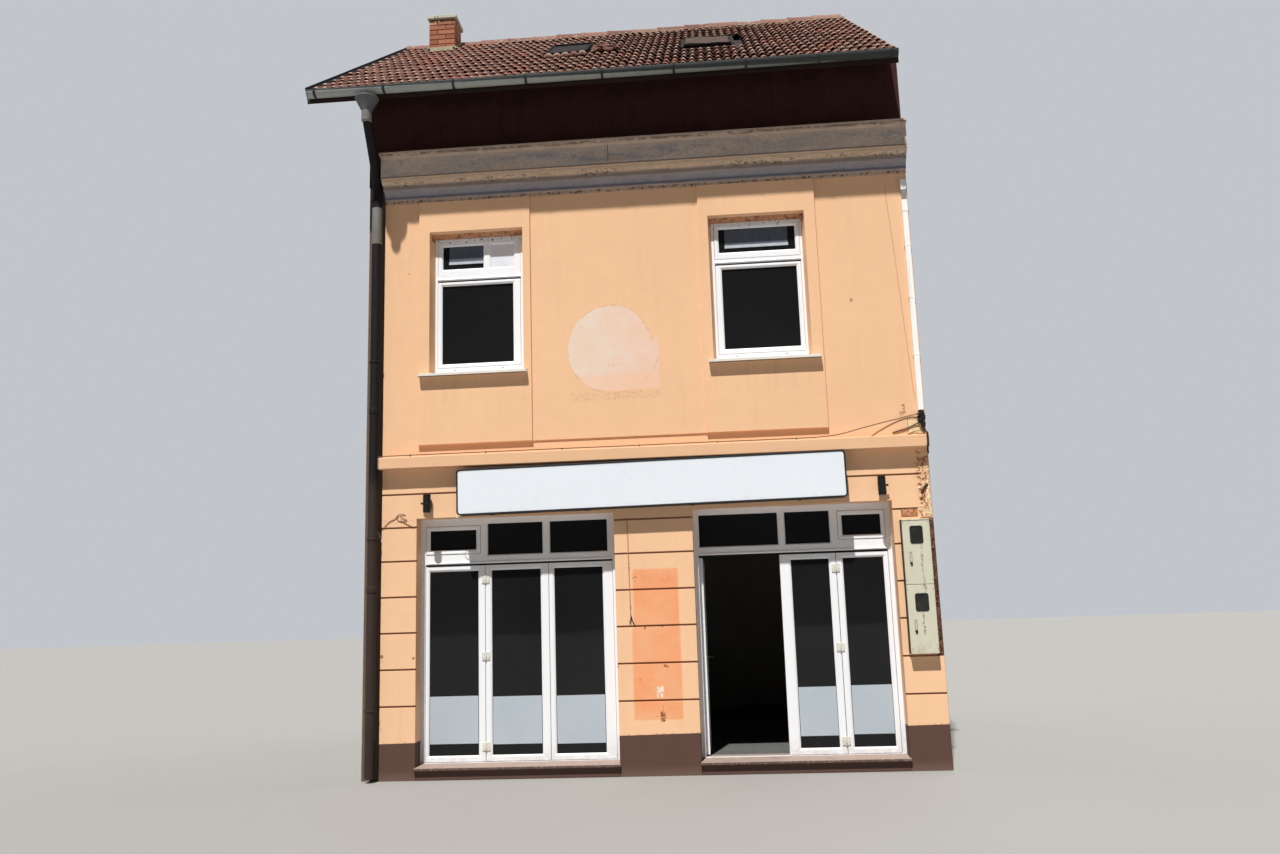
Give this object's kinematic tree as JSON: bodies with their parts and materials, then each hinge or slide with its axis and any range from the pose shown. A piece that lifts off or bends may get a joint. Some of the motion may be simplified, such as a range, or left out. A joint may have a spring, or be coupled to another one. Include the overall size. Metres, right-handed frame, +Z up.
{
  "type": "shop building",
  "caption": "Two-storey rendered shop building in a row, with glazed shopfronts, a blank signboard, a moulded cornice and a gabled clay tile roof.",
  "frame": {"origin": "centre of the plan at the lowest ground level, on the underside of the ground floor slab", "axes": "+Z up; +X along the front, to the right as seen from the street; +Y from the front into the building"},
  "size_m": [6.755, 7.829, 10.54],
  "materials": {
    "peach_render": "matt painted render",
    "dark_render": "matt dark brown render",
    "plain_render": "rough plain render",
    "rear_render": "matt painted render",
    "cornice_paint": "weathered grey-brown paint",
    "floor_tile": "satin tile",
    "timber_floor": "plain boarded floor on joists",
    "clay_tile": "matt fired clay",
    "verge_metal": "dark painted sheet",
    "gutter_metal": "weathered grey paint",
    "pipe_paint": "dark brown paint",
    "brick": "fired brick in light mortar",
    "cap_mortar": "cement mortar",
    "skylight_dark": "dark sheet and glass",
    "sign_white": "satin white panel in a dark edge",
    "lamp_black": "black powder coat",
    "cable_black": "matt black sheath",
    "cabinet_cream": "aged cream plastic",
    "trunking_white": "white plastic",
    "threshold_stone": "worn cut stone",
    "frame_white": "satin white window plastic",
    "sill_white": "white painted sheet sill",
    "glazing": "dark clear glass"
  },
  "bodies": {
    "building": {"left_pier": "peach_render", "middle_pier": "peach_render", "right_pier": "peach_render", "shop_lintel": "peach_render", "upper_front_wall": "peach_render", "front_attic_wall": "dark_render", "left_party_wall": "plain_render", "right_party_wall": "plain_render", "rear_wall": "rear_render", "ground_floor": "floor_tile", "upper_floor": "timber_floor", "attic_floor": "timber_floor", "string_course": "peach_render", "cornice": "cornice_paint", "upper_panel": "peach_render", "front_roof": "clay_tile", "rear_roof": "clay_tile", "ridge_tiles": "clay_tile", "front_verge": "verge_metal", "rear_verge": "verge_metal", "front_gutter": "gutter_metal", "rear_gutter": "gutter_metal", "downpipe": "pipe_paint", "chimney": "brick", "chimney_cap": "cap_mortar", "skylights": "skylight_dark", "signboard": "sign_white", "wall_lamps": "lamp_black", "meter_cabinet": "cabinet_cream", "cable_trunking": "trunking_white", "wall_cables": "cable_black", "thresholds": "threshold_stone", "left_shop_frame": "frame_white", "left_folding_doors": "frame_white", "right_shop_frame": "frame_white", "right_folding_doors": "frame_white", "shop_glass": "glazing", "window_frames": "frame_white", "window_glass": "glazing", "window_sills": "sill_white", "rear_window_frames": "frame_white", "rear_window_glass": "glazing", "rear_sills": "sill_white"},
    "door_leaf": {"shop_door": "frame_white", "door_glass": "glazing"}
  },
  "joints": [
    {"name": "door_hinge", "type": "hinge", "parent": "building", "child": "door_leaf", "pos_m": [0.559, -2.876, 1], "axis": [0, 0, 1], "range_deg": [-90, 0]}
  ]
}
